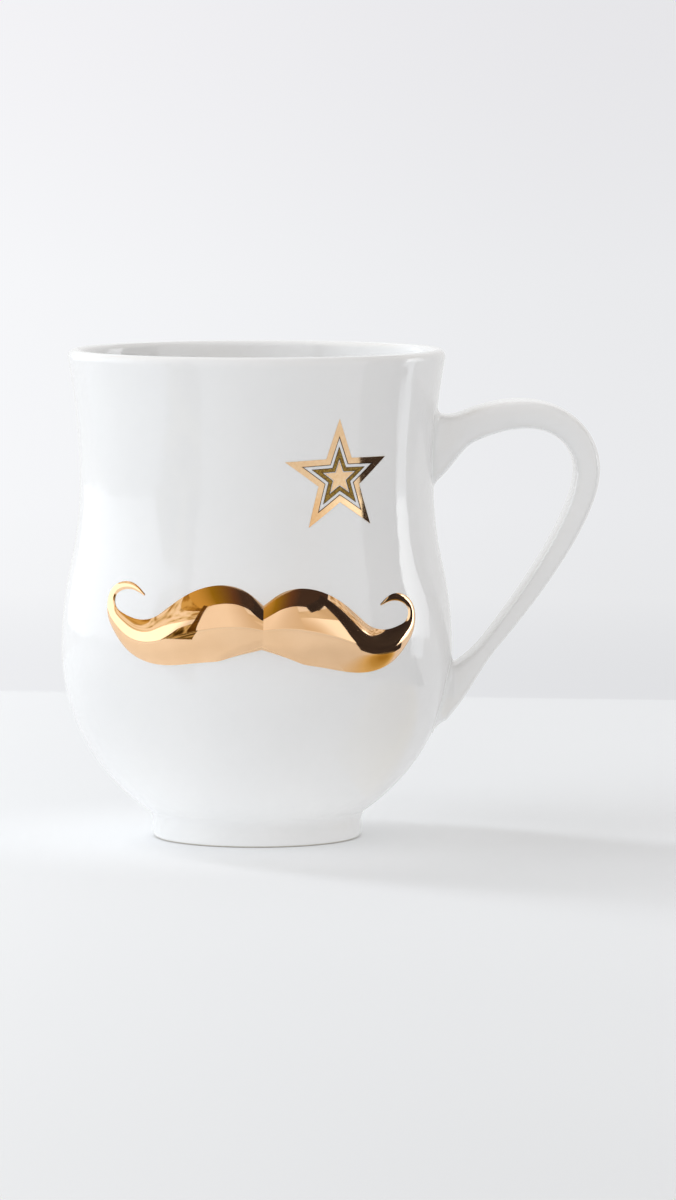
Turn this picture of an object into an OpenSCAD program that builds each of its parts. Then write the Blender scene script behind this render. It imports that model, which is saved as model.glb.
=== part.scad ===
// Mustache cup: a bellied, glazed mug with a strap handle, a gilded relief mustache and a gilded nested star.
// The origin is the middle of the foot on the table. +Z is up, the mustache faces -Y and the handle points to +X.

/* [Cup] */
// Height from the table to the top of the lip
cup_h = 110; // [95:1:130]
// Radius of the neck, the narrowest part of the wall
neck_r = 39.8; // [32:0.1:48]
// Height of the lip above the neck
lip_rise = 30; // [24:0.5:36]
// How far the lip flares out past the neck
lip_out = 2.6; // [1.6:0.1:6]
// How far the belly stands out past the neck
belly_out = 4.2; // [2:0.1:9]
// Height of the belly, the widest part of the wall
belly_z = 43; // [36:1:52]
// Thickness of the wall and of the rounded lip
wall = 3.4; // [2.4:0.1:4.6]
// Thickness of the floor, above the recess in the foot
floor_t = 4.6; // [3:0.1:7]
// Rounding inside, where the floor runs into the wall
floor_fillet = 18; // [8:1:24]

/* [Foot] */
// Radius of the foot
foot_r = 23.5; // [19:0.1:29]
// Height of the foot, from the table to the bowl
foot_h = 5.4; // [4:0.1:8]
// Width of the ring that stands on the table
foot_ring_w = 3.6; // [2.4:0.1:6]
// Depth of the recess inside the foot ring
recess_h = 2.4; // [1.6:0.1:3.2]
// Rounding of the foot ring's two lower edges
foot_edge = 1; // [0.3:0.1:1.4]
// Hollow rounding where the foot runs into the bowl
foot_fillet = 3; // [0.6:0.1:4]

/* [Handle] */
// Depth of the middle of the upper joint below the lip
handle_top_drop = 21.5; // [18:0.5:27]
// Depth of the middle of the lower joint below the belly
handle_low_drop = 11; // [7:0.1:14]
// How far the handle's outer edge stands out past the belly
handle_out = 33.2; // [27:0.1:42]
// Depth of the outermost point of the handle below the lip
handle_bow_drop = 27.4; // [22:0.1:34]
// Thickness of the strap near the top
handle_t_top = 7.6; // [5.5:0.1:9]
// Thickness of the strap at its lower end
handle_t_low = 2.8; // [2.2:0.1:5]
// Width of the strap, across the fingers
handle_w = 14; // [10:0.1:18]
// Height of the upper joint on the wall
joint_top_h = 17.2; // [13:0.1:20]
// Height of the lower joint on the wall
joint_low_h = 11; // [8:0.1:14]
// Extra width of the strap where it is luted to the wall
joint_spread = 2.5; // [0:0.1:5]
// Length over which the upper joint flares out of the strap
joint_top_l = 8.5; // [6:0.5:14]
// Length over which the lower joint flares out of the strap
joint_low_l = 16; // [10:0.5:22]
// Angle above level at which the strap leaves the upper joint
handle_top_a = 31; // [20:1:45]
// Angle above level at which the strap leaves the lower joint
handle_low_a = 48; // [36:1:60]
// Length of the curve's arm out of the upper joint
top_arm = 27; // [20:0.5:34]
// Length of the curve's arm from above into the outermost point
bow_arm = 9.3; // [7:0.1:13]
// Length of the curve's arm out of the lower joint
low_arm = 28.5; // [22:0.5:34]
// Squareness of the strap's section, where 2 is an ellipse
handle_square = 4; // [2:0.1:5]

/* [Mustache] */
// Height of the mustache's middle above the belly
mustache_rise = 8; // [4:0.5:12]
// Width of the mustache, laid out flat, over both curls
mustache_w = 78.2; // [60:0.1:90]
// Height of the mustache, from its crowns to its bellies
mustache_h = 18.4; // [14:0.1:22]
// Greatest height of the relief above the wall
mustache_relief = 3.6; // [2.5:0.1:6]
// Crown of the relief's section, where 1 is half an ellipse and 2 is a flatter lens
mustache_crown = 2; // [1:0.1:2.4]
// Tilt of the mustache, right end down
mustache_tilt = 2.4; // [-4:0.1:4]
// Turn of the mustache from the front
mustache_turn = -0.8; // [-5:0.1:5]

/* [Star] */
// Depth of the star's middle below the lip
star_drop = 26.7; // [22:0.1:34]
// Turn of the star from the front, towards the handle
star_turn = 24.6; // [15:0.1:35]
// Tilt of the star
star_tilt = 1.5; // [-10:0.1:10]
// Distance from the star's middle to its tips
star_tip_r = 13; // [11:0.1:15]
// Distance from the star's middle to its notches
star_notch_r = 5.3; // [4.4:0.1:6.4]
// Width of the outer band
star_band_w = 1.4; // [0.9:0.05:1.6]
// Width of the bare ring of glaze inside the outer band
star_gap_w = 0.65; // [0.4:0.05:0.9]
// Width of the middle band
star_middle_w = 0.9; // [0.4:0.05:1.1]
// Width of the fine bare line around the centre star
star_line_w = 0.2; // [0.15:0.05:0.4]
// Thickness of the fired transfer
star_t = 0.2; // [0.15:0.05:0.4]

/* [Hidden] */
$fn = 96;

// Heights and radii that the pieces share
rim_r = neck_r + lip_out;
neck_z = cup_h - lip_rise;
belly_r = neck_r + belly_out;
handle_top_z = cup_h - handle_top_drop;
handle_low_z = belly_z - handle_low_drop;
mustache_z = belly_z + mustache_rise;
star_z = cup_h - star_drop;

// The wall follows four arcs, tangent where they meet: bowl, swell, shoulder and flare.
// The bowl stands upright at the belly and ends at the top of the foot.
bowl_r = ((belly_z - foot_h)^2 + (belly_r - foot_r)^2) / (2 * (belly_r - foot_r));
bowl_a = asin((belly_z - foot_h) / bowl_r);
bowl_c = [belly_r - bowl_r, belly_z];
// Swell and shoulder are equal arcs from the upright belly to the upright neck.
ogee_r = ((neck_z - belly_z)^2 + belly_out^2) / (4 * belly_out);
ogee_a = asin((neck_z - belly_z) / (2 * ogee_r));
swell_c = [belly_r - ogee_r, belly_z];
shoulder_c = [neck_r + ogee_r, neck_z];
// The flare starts upright at the neck and is tangent to the round lip.
lip_c = [rim_r - wall / 2, cup_h - wall / 2];
flare_rise = lip_c.y - neck_z;
flare_r = (flare_rise^2 + lip_out^2) / (2 * lip_out) - wall / 2;
flare_a = asin(flare_rise / (flare_r + wall / 2));
flare_c = [neck_r + flare_r, neck_z];

// The inner bowl keeps the wall's thickness, and reaches down at least to the floor.
floor_z = recess_h + floor_t;
hollow_r = max(bowl_r - wall, belly_z - floor_z);
hollow_c = [belly_r - wall - hollow_r, belly_z];
// The floor's rounding touches the floor and the inner bowl.
floor_drop = belly_z - floor_z - floor_fillet;
floor_fillet_a = asin(floor_drop / (hollow_r - floor_fillet));
floor_fillet_c = [hollow_c.x + (hollow_r - floor_fillet) * cos(floor_fillet_a), floor_z + floor_fillet];
// The hollow rounding over the foot touches the foot's side and the bowl.
foot_fillet_x = foot_r + foot_fillet;
foot_fillet_a = acos((foot_fillet_x - bowl_c.x) / (bowl_r + foot_fillet));
foot_fillet_c = [foot_fillet_x, belly_z - (bowl_r + foot_fillet) * sin(foot_fillet_a)];

// Segments of the long arcs and of the small roundings
arc_steps = 14;
round_steps = 5;

// Points along an arc between two angles, without its first point
function arc(c, r, from, to, steps) = [
    for (i = [1:steps])
        let (a = from + (to - from) * i / steps)
        c + r * [cos(a), sin(a)]
];
function reverse(list) = [for (i = [len(list) - 1:-1:0]) list[i]];

// A bowl's line from an angle below its middle up to the belly
function bowl_line(c, r, from) = concat([c + r * [cos(from), sin(from)]], arc(c, r, from, 0, arc_steps));

// The wall's line from the belly up to the lip, moved inwards by an inset
function upper_line(inset) = concat(
    arc(swell_c, ogee_r - inset, 0, ogee_a, arc_steps / 2),
    arc(shoulder_c, ogee_r + inset, 180 + ogee_a, 180, arc_steps / 2),
    arc(flare_c, flare_r + inset, 180, 180 - flare_a, arc_steps / 2)
);

// Radius of the outer wall at a height
function wall_r(z) =
    z < belly_z ? bowl_c.x + sqrt(bowl_r^2 - (z - belly_z)^2)
    : z < belly_z + ogee_r * sin(ogee_a) ? swell_c.x + sqrt(ogee_r^2 - (z - belly_z)^2)
    : z < neck_z ? shoulder_c.x - sqrt(ogee_r^2 - (z - neck_z)^2)
    : flare_c.x - sqrt(flare_r^2 - (z - neck_z)^2);

// A point on the wall, at an angle from the front and lifted off the wall
function on_wall(turn, z, lift) =
    let (r = wall_r(z) + lift)
    [r * sin(turn), -r * cos(turn), z];

function unit(v) = v / norm(v);
function mix(a, b, t) = a + (b - a) * t;
function smooth(t) = let (k = min(max(t, 0), 1)) k * k * (3 - 2 * k);
function power(x, e) = sign(x) * abs(x)^e;

// The whole outer form as a solid, for trimming what is fixed to the wall
module outer_form() {
    line = concat(bowl_line(bowl_c, bowl_r, -bowl_a), upper_line(0));
    rotate_extrude()
    polygon(concat([[0, 0], [foot_r, 0]], line, [[0, line[len(line) - 1].y]]));
}

module cup_body() {
    ring_in = foot_r - foot_ring_w;
    recess = [[0, recess_h], [ring_in, recess_h], [ring_in, foot_edge]];
    foot = concat(
        arc([ring_in + foot_edge, foot_edge], foot_edge, 180, 270, round_steps),
        [[foot_r - foot_edge, 0]],
        arc([foot_r - foot_edge, foot_edge], foot_edge, 270, 360, round_steps),
        [foot_fillet_c - [foot_fillet, 0]],
        arc(foot_fillet_c, foot_fillet, 180, 180 - foot_fillet_a, round_steps)
    );
    outside = concat(bowl_line(bowl_c, bowl_r, -foot_fillet_a), upper_line(0));
    lip = arc(lip_c, wall / 2, -flare_a, 180 - flare_a, 2 * round_steps);
    inside = reverse(concat(bowl_line(hollow_c, hollow_r, -floor_fillet_a), upper_line(wall)));
    floor_corner = arc(floor_fillet_c, floor_fillet, -floor_fillet_a, -90, round_steps);
    color("white")
    rotate_extrude()
    polygon(concat(recess, foot, outside, lip, inside, floor_corner, [[0, floor_z]]));
}

// A closed skin over rings of points, with the first and last ring filled in
module skin(rings) {
    n = len(rings);
    m = len(rings[0]);
    sides = [
        for (i = [0:n - 2], j = [0:m - 1])
            let (k = (j + 1) % m)
            each [[i * m + j, i * m + k, (i + 1) * m + k], [i * m + j, (i + 1) * m + k, (i + 1) * m + j]]
    ];
    first = [for (j = [m - 1:-1:0]) j];
    last = [for (j = [0:m - 1]) (n - 1) * m + j];
    polyhedron([for (ring = rings) each ring], concat(sides, [first, last]));
}

// The handle's centre line is two cubic curves that meet, upright, at its outermost point.
handle_steps = 22;
handle_sides = 24;
// Thickness of the strap at a share of its length, before the joints' flares
function strap_t(share) = mix(handle_t_top, handle_t_low, share);

// Share of the strap's length at which it passes its outermost point
bow_share = 0.42;
handle_top = [wall_r(handle_top_z), handle_top_z];
handle_bow = [belly_r + handle_out - strap_t(bow_share) / 2, cup_h - handle_bow_drop];
handle_low = [wall_r(handle_low_z), handle_low_z];

function bezier(p, t) =
    (1 - t)^3 * p[0] + 3 * (1 - t)^2 * t * p[1] + 3 * (1 - t) * t^2 * p[2] + t^3 * p[3];

// Both curves bend equally at the outermost point, which sets the second one's arm.
handle_shoulder = handle_top + top_arm * [cos(handle_top_a), sin(handle_top_a)];
handle_heel = handle_low + low_arm * [cos(handle_low_a), sin(handle_low_a)];
bow_arm_down = bow_arm * sqrt((handle_bow.x - handle_heel.x) / (handle_bow.x - handle_shoulder.x));
handle_over = [handle_top, handle_shoulder, handle_bow + [0, bow_arm], handle_bow];
handle_down = [handle_bow, handle_bow - [0, bow_arm_down], handle_heel, handle_low];
handle_line = concat(
    [for (i = [0:handle_steps - 1]) bezier(handle_over, i / handle_steps)],
    [for (i = [0:handle_steps]) bezier(handle_down, i / handle_steps)]
);
handle_end = len(handle_line) - 1;

// Length of a line of points up to each of them
function lengths(line) = [
    for (i = 1, l = 0; i <= len(line); l = l + (i < len(line) ? norm(line[i] - line[i - 1]) : 0), i = i + 1) l
];
handle_at = lengths(handle_line);
handle_l = handle_at[handle_end];

// One ring of the strap: square to the line along the grip, upright where it meets the wall
function handle_ring(i, shift) =
    let (
        to = handle_line[min(i + 1, handle_end)] - handle_line[max(i - 1, 0)],
        top = max(0, 1 - handle_at[i] / joint_top_l)^2,
        low = max(0, 1 - (handle_l - handle_at[i]) / joint_low_l)^2,
        grip_t = strap_t(handle_at[i] / handle_l),
        t = grip_t + (joint_top_h - grip_t) * top + (joint_low_h - grip_t) * low,
        w = handle_w + (joint_w - handle_w) * (top + low),
        across = unit((1 - top - low) * unit([-to.y, to.x]) + [0, top - low]),
        middle = handle_line[i] + shift
    )
    [
        for (j = [0:handle_sides - 1])
            let (
                a = 360 * j / handle_sides,
                p = middle + across * power(cos(a), 2 / handle_square) * t / 2
            )
            [p.x, power(sin(a), 2 / handle_square) * w / 2, p.y]
    ];

// Depth at which the whole end of the strap lies inside the wall's line, to be trimmed to it
joint_w = handle_w + joint_spread;
joint_sink = wall / 4;
function joint_depth(z, h) =
    let (least_r = min(wall_r(z - h / 2), wall_r(z + h / 2)))
    wall_r(z) - sqrt(least_r^2 - joint_w^2 / 4) + joint_sink;

module handle() {
    rings = [
        handle_ring(0, [-joint_depth(handle_top_z, joint_top_h), 0]),
        for (i = [0:handle_end]) handle_ring(i, [0, 0]),
        handle_ring(handle_end, [-joint_depth(handle_low_z, joint_low_h), 0]),
    ];
    color("white")
    difference() {
        skin(rings);
        outer_form();
    }
}

// One half of the mustache as stations along its middle line, from the crease to the tip of the curl:
// place along half the width, height as a share of the full height, half width as a share of the full height,
// and height of the relief as a share of the greatest.
mustache_stations = [
    [0.000, 0.00, 0.260, 0.78],
    [0.087, 0.04, 0.355, 0.92],
    [0.251, 0.03, 0.445, 1.00],
    [0.444, -0.11, 0.385, 0.88],
    [0.609, -0.23, 0.290, 0.62],
    [0.758, -0.21, 0.215, 0.38],
    [0.879, -0.09, 0.142, 0.21],
    [0.966, 0.08, 0.084, 0.11],
    [0.971, 0.26, 0.062, 0.08],
    [0.894, 0.37, 0.050, 0.06],
    [0.807, 0.37, 0.036, 0.05],
    [0.725, 0.29, 0.010, 0.04],
];
mustache_steps = 5;
mustache_sides = 12;
// Share of half the width over which the sections turn from upright to square
crease_share = 0.4;

// A smooth curve through a list of stations, at a place counted in stations
function spline(list, u) =
    let (
        last = len(list) - 1,
        i = min(floor(u), last - 1),
        t = u - i,
        b = list[i],
        c = list[i + 1],
        a = i > 0 ? list[i - 1] : 2 * b - c,
        d = i < last - 1 ? list[i + 2] : 2 * c - b
    )
    b + 0.5 * t * (c - a + t * (2 * a - 5 * b + 4 * c - d + t * (3 * (b - c) + d - a)));

// A point of the mustache, laid out flat, put on the wall
function mustache_point(p, lift) =
    let (
        x = p.x * cos(mustache_tilt) + p.y * sin(mustache_tilt),
        z = mustache_z + p.y * cos(mustache_tilt) - p.x * sin(mustache_tilt),
        turn = mustache_turn + x / wall_r(mustache_z) * 180 / PI
    )
    on_wall(turn, z, lift);

// One ring of a half: a dome over the line, closed by a strip that lies on the wall
function mustache_ring(side, u) =
    let (
        end = len(mustache_stations) - 1,
        size = [mustache_w / 2, mustache_h],
        s = spline(mustache_stations, u),
        before = spline(mustache_stations, max(u - 0.1, 0)),
        after = spline(mustache_stations, min(u + 0.1, end)),
        to = [(after.x - before.x) * size.x, (after.y - before.y) * size.y],
        across = unit(mix([0, 1], unit([-to.y, to.x]), smooth(s.x / crease_share))),
        middle = [s.x * size.x, s.y * size.y],
        half_w = s[2] * mustache_h,
        relief = s[3] * mustache_relief
    )
    [
        for (j = [0:2 * mustache_sides - 1])
            let (
                a = 180 * j / mustache_sides - 90,
                p = middle + across * sin(a) * half_w
            )
            mustache_point([side * p.x, p.y], relief * max(cos(a), 0)^mustache_crown)
    ];

module mustache_half(side) {
    n = (len(mustache_stations) - 1) * mustache_steps;
    rings = [for (i = [0:n]) mustache_ring(side, i / mustache_steps)];
    skin(side > 0 ? [for (ring = rings) reverse(ring)] : rings);
}

module mustache_left() {
    color("goldenrod") mustache_half(-1);
}

module mustache_right() {
    color("goldenrod") mustache_half(1);
}

// Half the angle at a star's tip, which turns a band's width into a step between tips
star_tip_a = atan(star_notch_r * sin(36) / (star_tip_r - star_notch_r * cos(36)));

// Share of the whole star that is left inside a border of some width
function star_share(border) = 1 - border / (star_tip_r * sin(star_tip_a));

module star_outline(border) {
    share = star_share(border);
    polygon([
        for (i = [0:9])
            let (a = 90 + star_tilt + 36 * i, r = share * (i % 2 == 0 ? star_tip_r : star_notch_r))
            r * [cos(a), sin(a)]
    ]);
}

// A band of the star between two borders, fired onto the wall as a thin skin
module star_band(outside, inside) {
    intersection() {
        rotate_extrude()
        polygon(concat(upper_line(-star_t), reverse(upper_line(0))));
        rotate([0, 0, star_turn])
        translate([0, 0, star_z])
        rotate([90, 0, 0])
        linear_extrude(2 * rim_r) {
            difference() {
                star_outline(outside);
                if (inside > 0) star_outline(inside);
            }
        }
    }
}

star_middle_at = star_band_w + star_gap_w;
star_centre_at = star_middle_at + star_middle_w + star_line_w;

module star_outer_band() {
    color("gold") star_band(0, star_band_w);
}

module star_middle_band() {
    color("darkgoldenrod") star_band(star_middle_at, star_middle_at + star_middle_w);
}

module star_centre() {
    color("gold") star_band(star_centre_at, 0);
}

cup_body();
handle();
mustache_left();
mustache_right();
star_outer_band();
star_middle_band();
star_centre();
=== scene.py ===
# %% [markdown]
# # A gilded mustache cup
# This lesson dresses a measured model of a white glazed mug. The mug carries a mustache in relief and a
# small star, both gilded. The measured solids come in as a frame, which stays where it is. They have the
# right size but flat facets, and a mirror finish shows every facet. So each solid is replaced by a fine
# surface that is worked out from the same sizes.

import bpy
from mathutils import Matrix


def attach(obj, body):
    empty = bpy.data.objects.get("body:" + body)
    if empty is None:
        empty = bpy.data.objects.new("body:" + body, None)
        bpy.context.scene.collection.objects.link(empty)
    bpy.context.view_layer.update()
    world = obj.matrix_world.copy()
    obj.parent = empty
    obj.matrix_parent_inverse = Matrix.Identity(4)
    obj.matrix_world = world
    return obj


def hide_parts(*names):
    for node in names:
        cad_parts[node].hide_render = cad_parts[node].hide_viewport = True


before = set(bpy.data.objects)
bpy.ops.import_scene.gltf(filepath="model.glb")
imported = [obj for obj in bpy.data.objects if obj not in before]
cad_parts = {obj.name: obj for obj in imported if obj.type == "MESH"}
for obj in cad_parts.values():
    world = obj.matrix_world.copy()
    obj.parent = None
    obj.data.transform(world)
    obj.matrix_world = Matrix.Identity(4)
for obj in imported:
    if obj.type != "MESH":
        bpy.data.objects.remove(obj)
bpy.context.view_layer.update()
print("Solids in the frame:", ", ".join(sorted(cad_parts)))

# %% Modules
import math

import bpy
import numpy as np

# %% [markdown]
# ## Sizes
# The solids were drawn in millimetres and Blender counts in metres, so every size here is written as so
# many millimetres. The origin is the middle of the foot, on the table. The mustache faces -Y and the
# handle points to +X.

# %% Sizes of the body
MM = 0.001
CUP_H = 110 * MM
NECK_R = 39.8 * MM
LIP_RISE = 30 * MM
LIP_OUT = 2.6 * MM
BELLY_OUT = 4.2 * MM
BELLY_Z = 43 * MM
WALL = 3.4 * MM
FLOOR_T = 4.6 * MM
FLOOR_FILLET = 18 * MM
FOOT_R = 23.5 * MM
FOOT_H = 5.4 * MM
FOOT_RING_W = 3.6 * MM
RECESS_H = 2.4 * MM
RECESS_FILLET = 0.8 * MM
FOOT_EDGE = 1 * MM
FOOT_FILLET = 3 * MM

BELLY_R = NECK_R + BELLY_OUT
NECK_Z = CUP_H - LIP_RISE
print(f"Cup {CUP_H / MM:.0f} mm high, {2 * BELLY_R / MM:.0f} mm across the belly")

# %% [markdown]
# ## The camera
# The camera stands where the photographer stood: about a metre and a half away, a little above the lip
# and a little to the left, with a long lens. A long lens keeps the cup's two sides nearly parallel. The
# focal length is first given in pixels of the picture, and the height of the sensor turns it into
# millimetres.

# %% Camera
CAMERA_AT = (-0.06325, -1.4486, 0.180)
CAMERA_DOWN = math.radians(4.993)
CAMERA_RIGHT = math.radians(3.223)
FOCAL_PX = 6458.7
PICTURE_H_PX = 1200
SENSOR_H = 36


def make_camera():
    """A camera with a long lens at the photographer's place, turned a little down and to the right."""
    data = bpy.data.cameras.new("camera")
    data.sensor_fit = "VERTICAL"
    data.sensor_height = SENSOR_H
    data.lens = FOCAL_PX * SENSOR_H / PICTURE_H_PX
    camera = bpy.data.objects.new("camera", data)
    camera.location = CAMERA_AT
    camera.rotation_euler = (math.pi / 2 - CAMERA_DOWN, 0, -CAMERA_RIGHT)
    bpy.context.collection.objects.link(camera)
    bpy.context.scene.camera = camera
    return camera


print(f"Lens of {make_camera().data.lens:.0f} mm")

# %% [markdown]
# ## Small helpers for nodes
# A finish is a tree of nodes. One helper adds a node, sets its options and fills its inputs, either with
# a plain value or with a link from another node. That keeps each recipe below short enough to read. Noise
# stays mostly between two values, and two helpers spread that span over two tones or two numbers.

# %% Node helpers


def add_node(tree, kind, inputs=(), **options):
    """Adds a shader node. An input takes a link where its value is a socket, or else the value itself."""
    node = tree.nodes.new("ShaderNode" + kind)
    for name, value in options.items():
        setattr(node, name, value)
    for name, value in dict(inputs).items():
        if isinstance(value, bpy.types.NodeSocket):
            tree.links.new(value, node.inputs[name])
        else:
            node.inputs[name].default_value = value
    return node


def new_tree(name):
    """A new material with an empty node tree and its output node."""
    material = bpy.data.materials.new(name)
    material.use_nodes = True
    material.node_tree.nodes.clear()
    return material, material.node_tree, add_node(material.node_tree, "OutputMaterial")


def calculate(tree, operation, *values):
    """One step of arithmetic on values or sockets, such as a product or a maximum."""
    return add_node(tree, "Math", dict(enumerate(values)), operation=operation).outputs["Value"]


def map_range(tree, value, low, high, to_low, to_high):
    """Moves a value smoothly from one range into another, and holds it at the ends."""
    inputs = {"Value": value, "From Min": low, "From Max": high, "To Min": to_low, "To Max": to_high}
    return add_node(tree, "MapRange", inputs, interpolation_type="SMOOTHSTEP").outputs["Result"]


def mix(tree, kind, share, first, second):
    """A blend of two colours (RGBA) or two values (FLOAT), by the share of the second."""
    inputs = {"Factor": share, "A": first, "B": second}
    return add_node(tree, "Mix", inputs, data_type=kind).outputs["Result"]


def mix_shaders(tree, share, first, second):
    """A blend of two shaders, by the share of the second."""
    return add_node(tree, "MixShader", {0: share, 1: first, 2: second}).outputs["Shader"]


def shine(tree, colour, strength=1):
    """A shader that gives light of its own."""
    return add_node(tree, "Emission", {"Color": colour, "Strength": strength}).outputs["Emission"]


def principled(tree, output, inputs):
    """Puts Blender's all-round shader with these inputs on a material."""
    shader = add_node(tree, "BsdfPrincipled", inputs)
    tree.links.new(shader.outputs["BSDF"], output.inputs["Surface"])


# %% Helpers for tones and places
NOISE_LOW = 0.3
NOISE_HIGH = 0.7


def colour_ramp(tree, value, stops):
    """Turns a value into a colour, through a list of (place, colour) stops."""
    node = add_node(tree, "ValToRGB", {"Fac": value})
    ramp = node.color_ramp
    while len(ramp.elements) < len(stops):
        ramp.elements.new(1)
    for element, (place, colour) in zip(ramp.elements, stops):
        element.position = place
        element.color = (*colour, 1)
    return node.outputs["Color"]


def noise(tree, place, scale, detail=2):
    """Soft noise over a place, as a value around one half."""
    inputs = {"Vector": place, "Scale": scale, "Detail": detail, "Roughness": 0.5}
    return add_node(tree, "TexNoise", inputs).outputs["Fac"]


def two_tone(tree, tone, low, high):
    """Noise as a colour between two tones."""
    return colour_ramp(tree, tone, [(NOISE_LOW, low), (NOISE_HIGH, high)])


def vary(tree, tone, low, high):
    """Noise as a value between two others."""
    return map_range(tree, tone, NOISE_LOW, NOISE_HIGH, low, high)


def object_place(tree):
    """The place of a point in its object, which for every piece here is its place on the cup."""
    return add_node(tree, "TexCoord").outputs["Object"]


def place_along(tree, axis):
    """The place of a point along one axis of its object."""
    return add_node(tree, "SeparateXYZ", {"Vector": object_place(tree)}).outputs[axis]


# %% [markdown]
# ## The table and the wall
# The cup stands on a white table before a pale wall. A plane for each is enough, and both are clear from
# behind, so that other views can look in. The table glows a little by itself: painted light that keeps the
# cup's shade round the foot soft.

# %% Sheets


def sheet_object(name, points, material, faces=((0, 1, 2, 3),)):
    """A sheet of four-sided faces, whose front is where their corners go anticlockwise."""
    mesh = bpy.data.meshes.new(name)
    mesh.from_pydata([tuple(map(float, point)) for point in points], [], faces)
    mesh.materials.append(material)
    sheet = bpy.data.objects.new(name, mesh)
    bpy.context.collection.objects.link(sheet)
    return sheet


def one_sided(tree, shader, output):
    """Shows a shader on the front of a sheet, and nothing on the back."""
    clear = add_node(tree, "BsdfTransparent").outputs["BSDF"]
    back = add_node(tree, "NewGeometry").outputs["Backfacing"]
    tree.links.new(mix_shaders(tree, back, shader, clear), output.inputs["Surface"])


# %% Finish of the table
# Painted light: the table glows round the foot, where it lifts the cup's shade, and fades from left to right
FOOT_GLOW_IN = 0.028
FOOT_GLOW_OUT = 0.085
SEEN_FOOT_GLOW = 0.08
SEEN_FADE_X = (-0.12, 0.03)
SEEN_GLOW = (0.185, 0.113)
FELT_FOOT_GLOW = 0.26
FELT_FADE_X = (-0.06, 0.1)
FELT_GLOW = (0.18, 0.15)
EVEN_TONE_IN = 0.5
EVEN_TONE_OUT = 0.9


def table_top():
    """
    White acrylic, very slightly uneven, that glows by itself with painted light that softens shadows. The
    glow is strongest round the foot, where it lifts the cup's shade on the table, and fades away from the
    window.
    None comes from under the foot. The cup is lit by more of it than is seen, so that the table doesn't clip.
    Far out the table shows one even tone.
    """
    material, tree, output = new_tree("table_top")
    place = object_place(tree)
    white = two_tone(tree, noise(tree, place, scale=3), (0.658, 0.668, 0.68), (0.678, 0.688, 0.7))
    matt = add_node(tree, "BsdfDiffuse", {"Color": white}).outputs["BSDF"]
    across = place_along(tree, "X")
    away = add_node(tree, "VectorMath", {0: place}, operation="LENGTH").outputs["Value"]
    round_foot = map_range(tree, away, FOOT_GLOW_IN, FOOT_GLOW_OUT, 1, 0)
    seen_across = map_range(tree, across, *SEEN_FADE_X, *SEEN_GLOW)
    felt_across = map_range(tree, across, *FELT_FADE_X, *FELT_GLOW)
    seen = calculate(tree, "MULTIPLY_ADD", round_foot, SEEN_FOOT_GLOW, seen_across)
    felt = calculate(tree, "MULTIPLY_ADD", round_foot, FELT_FOOT_GLOW, felt_across)
    lights = add_node(tree, "LightPath").outputs["Is Diffuse Ray"]
    clear_of_foot = map_range(tree, away, FOOT_R - 2 * FOOT_EDGE, FOOT_R + FOOT_EDGE, 0, 1)
    strength = calculate(tree, "MULTIPLY", mix(tree, "FLOAT", lights, seen, felt), clear_of_foot)
    # The table's glow is painted light: no lamp stands under the table.
    painted_glow = shine(tree, (0.99, 1, 1, 1), strength)
    near = add_node(tree, "AddShader", {0: matt, 1: painted_glow}).outputs["Shader"]
    even = shine(tree, (0.82, 0.84, 0.86, 1))
    far = map_range(tree, away, EVEN_TONE_IN, EVEN_TONE_OUT, 0, 1)
    one_sided(tree, mix_shaders(tree, far, near, even), output)
    material.cycles.emission_sampling = "NONE"
    return material


# %% Finish of the wall
WALL_FADE_X = (-0.11, 0.14)
WALL_GLOW = (0.94, 0.82)
WALL_TONES_H = 0.2


def wall_paint():
    """A wall with its own light: painted light fades from the window, painted shade along the table and up.
    """
    material, tree, output = new_tree("wall_paint")
    # Painted light and shade: brighter towards the window, darker along the table and towards the top
    across = map_range(tree, place_along(tree, "X"), *WALL_FADE_X, *WALL_GLOW)
    rise = colour_ramp(tree, map_range(tree, place_along(tree, "Z"), 0, WALL_TONES_H, 0, 1), [
        (0, (0.91, 0.92, 0.94)),
        (0.05, (0.975, 0.985, 1.0)),
        (0.16, (0.995, 1.005, 1.025)),
        (0.6, (0.995, 1.005, 1.025)),
        (1, (0.965, 0.965, 0.99)),
    ])
    one_sided(tree, shine(tree, rise, across), output)
    return material


# %% Table and wall
STAGE_HALF_W = 1.6
STAGE_FRONT_Y = -1.9
TABLE_BACK_Y = 0.315
TABLE_BACK_SKEW = 0.19
WALL_GAP = 0.005
WALL_FOOT_Z = -0.05
WALL_TOP_Z = 1.1

back_left = TABLE_BACK_Y + TABLE_BACK_SKEW * STAGE_HALF_W
back_right = TABLE_BACK_Y - TABLE_BACK_SKEW * STAGE_HALF_W
sheet_object("table", [
    (-STAGE_HALF_W, STAGE_FRONT_Y, 0),
    (STAGE_HALF_W, STAGE_FRONT_Y, 0),
    (STAGE_HALF_W, back_right, 0),
    (-STAGE_HALF_W, back_left, 0),
], table_top())
wall = sheet_object("wall", [
    (-STAGE_HALF_W, back_left + WALL_GAP, WALL_FOOT_Z),
    (STAGE_HALF_W, back_right + WALL_GAP, WALL_FOOT_Z),
    (STAGE_HALF_W, back_right + WALL_GAP, WALL_TOP_Z),
    (-STAGE_HALF_W, back_left + WALL_GAP, WALL_TOP_Z),
], wall_paint())
print(f"Wall {TABLE_BACK_Y + WALL_GAP:.2f} m behind the cup")

# %% [markdown]
# ## Daylight and room
# Daylight comes from a window at the left and somewhat behind, so the left side is bright and the shadow
# falls to the right and forward. Area lamps would do. Shining sheets do the same, and the helper that
# bends them round the cup also makes the cards that only the gold mirrors. The window is high and narrow,
# which gives the shadow its edge, and a dim, wide sheet beside it lights the left side. The rest of the
# light is the pale room itself, from all round.

# %% Cards round the cup
CUP_MIDDLE = np.array([0, 0, CUP_H / 2])


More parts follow.
